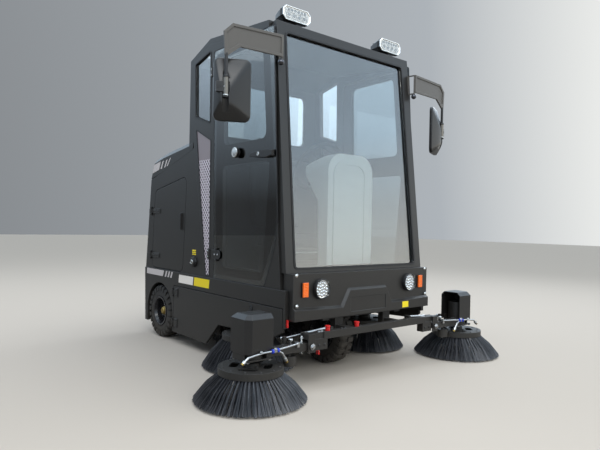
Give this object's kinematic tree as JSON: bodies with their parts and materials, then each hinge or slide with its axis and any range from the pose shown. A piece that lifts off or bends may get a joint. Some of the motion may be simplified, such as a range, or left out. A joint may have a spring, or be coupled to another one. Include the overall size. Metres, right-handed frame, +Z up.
{
  "type": "road sweeper",
  "caption": "Compact ride-on three-wheel road sweeper with a glazed cab, side and mid disc brushes and a roller brush.",
  "frame": {"origin": "middle of the overall length and width, on the ground the wheels stand on", "axes": "+X to the vehicle's left, across the brushes; +Y to the rear; +Z up"},
  "size_m": [2.246, 2.176, 2.0887],
  "materials": {
    "body": "satin powder coat",
    "chassis": "semi gloss",
    "cast": "satin",
    "tyre": "matte rubber",
    "rim": "semi gloss",
    "glass": "clear",
    "bristle": "matte",
    "disc": "satin",
    "trim": "satin",
    "console": "satin",
    "interior": "matte",
    "seat": "matte",
    "lamp_clear": "clear",
    "lamp_amber": "gloss",
    "lamp_red": "gloss",
    "vent": "satin",
    "steel": "satin",
    "red": "gloss"
  },
  "bodies": {
    "sweeper": {"battery_pack": "trim", "brush_beam": "chassis", "cab_floor": "interior", "cab_rear_wall": "body", "cab_roof": "body", "cab_side_frames": "body", "cab_windows": "glass", "chassis_frame": "chassis", "driver_seat": "seat", "front_panel": "body", "headlamps": "lamp_clear", "hopper": "interior", "indicators": "lamp_amber", "lift_struts": "steel", "lower_body": "body", "mid_brush_drives": "chassis", "mirror_arms": "cast", "mirror_heads": "trim", "pedals": "interior", "rear_axle": "chassis", "rear_body": "body", "red_fittings": "red", "steering_column": "console", "steering_wheel": "trim", "tail_lamps": "lamp_red", "vent_panels": "vent", "windscreen": "glass", "windscreen_frame": "body", "work_lamps": "lamp_clear"},
    "front_fork": {"front_fork": "chassis"},
    "front_wheel": {"front_tyre": "tyre", "front_rim": "rim"},
    "rear_door": {"rear_door": "body"},
    "main_brush": {"main_brush": "bristle"},
    "rear_wheel_left": {"rear_tyre_left": "tyre", "rear_rim_left": "rim"},
    "cab_door_left": {"cab_door_left": "body", "door_glass_left": "glass"},
    "service_door_left": {"service_door_left": "body"},
    "skirt_door_left": {"skirt_door_left": "body"},
    "brush_arm_left": {"brush_arm_left": "chassis", "motor_cover_left": "trim", "spray_tubes_left": "steel"},
    "front_brush_left": {"front_bristles_left": "bristle", "front_disc_left": "disc"},
    "mid_brush_left": {"mid_bristles_left": "bristle", "mid_disc_left": "disc"},
    "rear_wheel_right": {"rear_tyre_right": "tyre", "rear_rim_right": "rim"},
    "cab_door_right": {"cab_door_right": "body", "door_glass_right": "glass"},
    "service_door_right": {"service_door_right": "body"},
    "skirt_door_right": {"skirt_door_right": "body"},
    "brush_arm_right": {"brush_arm_right": "chassis", "motor_cover_right": "trim", "spray_tubes_right": "steel"},
    "front_brush_right": {"front_bristles_right": "bristle", "front_disc_right": "disc"},
    "mid_brush_right": {"mid_bristles_right": "bristle", "mid_disc_right": "disc"}
  },
  "joints": [
    {"name": "steering", "type": "hinge", "parent": "sweeper", "child": "front_fork", "pos_m": [0, -0.474, 0.414], "axis": [0, 0, 1], "range_deg": [-65, 65]},
    {"name": "front_wheel_spin", "type": "hinge", "parent": "front_fork", "child": "front_wheel", "pos_m": [-0.045, -0.474, 0.19], "axis": [1, 0, 0], "continuous": true},
    {"name": "rear_wheel_left_spin", "type": "hinge", "parent": "sweeper", "child": "rear_wheel_left", "pos_m": [0.519, 0.791, 0.19], "axis": [1, 0, 0], "continuous": true},
    {"name": "cab_door_left_hinge", "type": "hinge", "parent": "sweeper", "child": "cab_door_left", "pos_m": [0.582, 0.069, 1.243], "axis": [0, 0, 1], "range_deg": [0, 85]},
    {"name": "service_door_left_hinge", "type": "hinge", "parent": "sweeper", "child": "service_door_left", "pos_m": [0.582, 0.958, 0.766], "axis": [0, 0, 1], "range_deg": [0, 100]},
    {"name": "skirt_door_left_hinge", "type": "hinge", "parent": "sweeper", "child": "skirt_door_left", "pos_m": [0.589, 0.557, 0.249], "axis": [0, 0, 1], "range_deg": [0, 75]},
    {"name": "brush_arm_left_lift", "type": "hinge", "parent": "sweeper", "child": "brush_arm_left", "pos_m": [0.515, -0.844, 0.226], "axis": [0, -1, 0], "range_deg": [0, 10]},
    {"name": "front_brush_left_spin", "type": "hinge", "parent": "brush_arm_left", "child": "front_brush_left", "pos_m": [0.843, -0.808, 0.165], "axis": [0, 0, 1], "continuous": true},
    {"name": "mid_brush_left_spin", "type": "hinge", "parent": "sweeper", "child": "mid_brush_left", "pos_m": [0.497, -0.277, 0.198], "axis": [0, 0, 1], "continuous": true},
    {"name": "rear_wheel_right_spin", "type": "hinge", "parent": "sweeper", "child": "rear_wheel_right", "pos_m": [-0.519, 0.791, 0.19], "axis": [1, 0, 0], "continuous": true},
    {"name": "cab_door_right_hinge", "type": "hinge", "parent": "sweeper", "child": "cab_door_right", "pos_m": [-0.582, 0.069, 1.243], "axis": [0, 0, -1], "range_deg": [0, 85]},
    {"name": "service_door_right_hinge", "type": "hinge", "parent": "sweeper", "child": "service_door_right", "pos_m": [-0.582, 0.958, 0.766], "axis": [0, 0, -1], "range_deg": [0, 100]},
    {"name": "skirt_door_right_hinge", "type": "hinge", "parent": "sweeper", "child": "skirt_door_right", "pos_m": [-0.589, 0.557, 0.249], "axis": [0, 0, -1], "range_deg": [0, 75]},
    {"name": "brush_arm_right_lift", "type": "hinge", "parent": "sweeper", "child": "brush_arm_right", "pos_m": [-0.515, -0.844, 0.226], "axis": [0, 1, 0], "range_deg": [0, 10]},
    {"name": "front_brush_right_spin", "type": "hinge", "parent": "brush_arm_right", "child": "front_brush_right", "pos_m": [-0.843, -0.808, 0.165], "axis": [0, 0, 1], "continuous": true},
    {"name": "mid_brush_right_spin", "type": "hinge", "parent": "sweeper", "child": "mid_brush_right", "pos_m": [-0.497, -0.277, 0.198], "axis": [0, 0, 1], "continuous": true},
    {"name": "rear_door_hinge", "type": "hinge", "parent": "sweeper", "child": "rear_door", "pos_m": [0, 0.99653, 1.134], "axis": [1, 0, 0], "range_deg": [0, 100]},
    {"name": "main_brush_spin", "type": "hinge", "parent": "sweeper", "child": "main_brush", "pos_m": [0, 0.226, 0.143], "axis": [1, 0, 0], "continuous": true}
  ]
}
